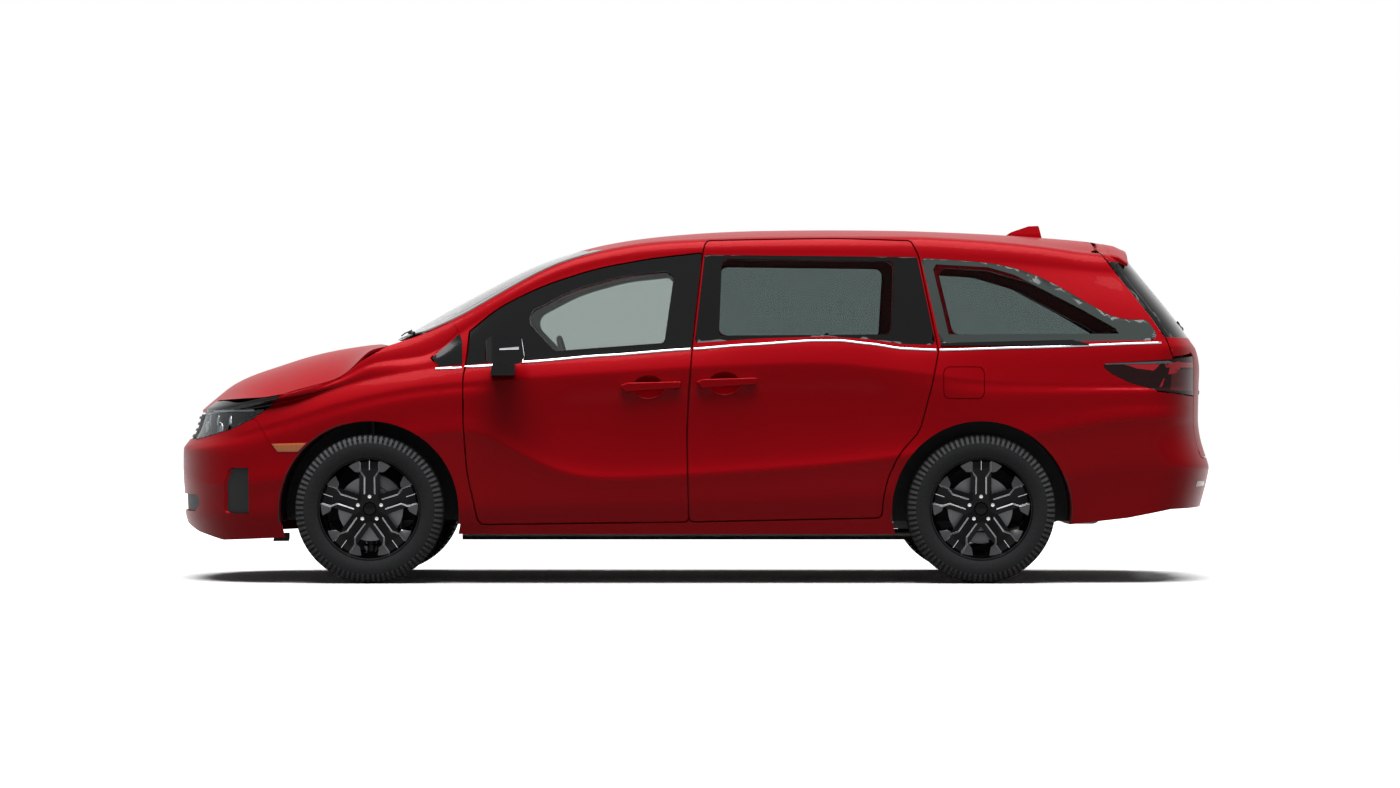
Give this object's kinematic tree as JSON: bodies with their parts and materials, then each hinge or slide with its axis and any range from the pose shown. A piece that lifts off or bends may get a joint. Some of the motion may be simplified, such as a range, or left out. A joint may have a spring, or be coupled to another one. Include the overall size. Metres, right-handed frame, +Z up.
{
  "type": "minivan",
  "caption": "Metallic red family minivan with hinged front doors, sliding rear doors, lifting hood and tailgate, steered front wheels, privacy glass and gloss black spoked alloys.",
  "frame": {"origin": "on the ground, below the middle of the car's length and width", "axes": "front towards -X, left side towards -Y, +Z up"},
  "size_m": [5.1888, 2.3344, 1.7846],
  "materials": {
    "red_paint": "metallic",
    "gloss_black": "gloss",
    "clear_glass": "clear",
    "privacy_glass": "dark tint",
    "lamp_clear": "clear",
    "lamp_red": "red",
    "matte_black": "matte",
    "seat_cloth": "woven",
    "chassis_steel": "satin",
    "engine_alloy": "cast",
    "exhaust_steel": "satin",
    "tyre": "matte",
    "rim_black": "gloss"
  },
  "bodies": {
    "car_body": {"body_side_left": "red_paint", "body_side_right": "red_paint", "roof_panel": "red_paint", "windscreen": "clear_glass", "cowl": "matte_black", "floor_pan": "chassis_steel", "front_fenders": "red_paint", "front_bumper": "red_paint", "upper_grille": "gloss_black", "lower_grille": "gloss_black", "headlamps": "lamp_clear", "tail_lamps": "lamp_red", "rear_bumper": "red_paint", "quarter_glass": "privacy_glass", "sliding_door_left": "red_paint", "sliding_door_right": "red_paint", "sliding_glass": "privacy_glass", "dashboard": "matte_black", "seats_front": "seat_cloth", "seats_rear": "seat_cloth", "engine_block": "engine_alloy", "exhaust": "exhaust_steel", "front_suspension": "chassis_steel", "rear_suspension": "chassis_steel", "arch_liners": "matte_black"},
    "door_left": {"front_door_left": "red_paint", "door_frame_left": "gloss_black", "door_glass_left": "clear_glass", "mirror_left": "gloss_black"},
    "door_right": {"front_door_right": "red_paint", "door_frame_right": "gloss_black", "door_glass_right": "clear_glass", "mirror_right": "gloss_black"},
    "hood_body": {"hood": "red_paint"},
    "tailgate_body": {"tailgate": "red_paint", "tailgate_glass": "privacy_glass"},
    "flap_body": {"fuel_flap": "red_paint"},
    "steer_left": {"knuckle_left": "chassis_steel"},
    "steer_right": {"knuckle_right": "chassis_steel"},
    "wheel_front_left": {"tyre_front_left": "tyre", "rim_front_left": "rim_black"},
    "wheel_front_right": {"tyre_front_right": "tyre", "rim_front_right": "rim_black"},
    "wheel_rear_left": {"tyre_rear_left": "tyre", "rim_rear_left": "rim_black"},
    "wheel_rear_right": {"tyre_rear_right": "tyre", "rim_rear_right": "rim_black"}
  },
  "joints": [
    {"name": "door_left_hinge", "type": "hinge", "parent": "car_body", "child": "door_left", "pos_m": [-1.205, -0.922, 0.8], "axis": [0, 0, -1], "range_deg": [0, 60]},
    {"name": "door_right_hinge", "type": "hinge", "parent": "car_body", "child": "door_right", "pos_m": [-1.205, 0.922, 0.8], "axis": [0, 0, 1], "range_deg": [0, 60]},
    {"name": "hood_hinge", "type": "hinge", "parent": "car_body", "child": "hood_body", "pos_m": [-1.48, 0, 1.148], "axis": [0, 1, 0], "range_deg": [0, 50]},
    {"name": "tailgate_hinge", "type": "hinge", "parent": "car_body", "child": "tailgate_body", "pos_m": [1.966, 0, 1.678], "axis": [0, -1, 0], "range_deg": [0, 80]},
    {"name": "fuel_flap_hinge", "type": "hinge", "parent": "car_body", "child": "flap_body", "pos_m": [1.19, -0.947, 0.944], "axis": [0, 0, -1], "range_deg": [0, 80]},
    {"name": "steer_left", "type": "hinge", "parent": "car_body", "child": "steer_left", "pos_m": [-1.603, -0.778, 0.19], "axis": [0, 0.23, 0.9732], "range_deg": [-32, 32]},
    {"name": "steer_right", "type": "hinge", "parent": "car_body", "child": "steer_right", "pos_m": [-1.603, 0.778, 0.19], "axis": [0, -0.23, 0.9732], "range_deg": [-32, 32]},
    {"name": "spin_front_left", "type": "hinge", "parent": "steer_left", "child": "wheel_front_left", "pos_m": [-1.603, -0.855, 0.366], "axis": [0, -1, 0], "continuous": true},
    {"name": "spin_front_right", "type": "hinge", "parent": "steer_right", "child": "wheel_front_right", "pos_m": [-1.603, 0.855, 0.366], "axis": [0, -1, 0], "continuous": true},
    {"name": "spin_rear_left", "type": "hinge", "parent": "car_body", "child": "wheel_rear_left", "pos_m": [1.397, -0.855, 0.366], "axis": [0, -1, 0], "continuous": true},
    {"name": "spin_rear_right", "type": "hinge", "parent": "car_body", "child": "wheel_rear_right", "pos_m": [1.397, 0.855, 0.366], "axis": [0, -1, 0], "continuous": true}
  ],
  "couplings": [
    {"joint": "steer_right", "follows": "steer_left", "ratio": 1}
  ]
}
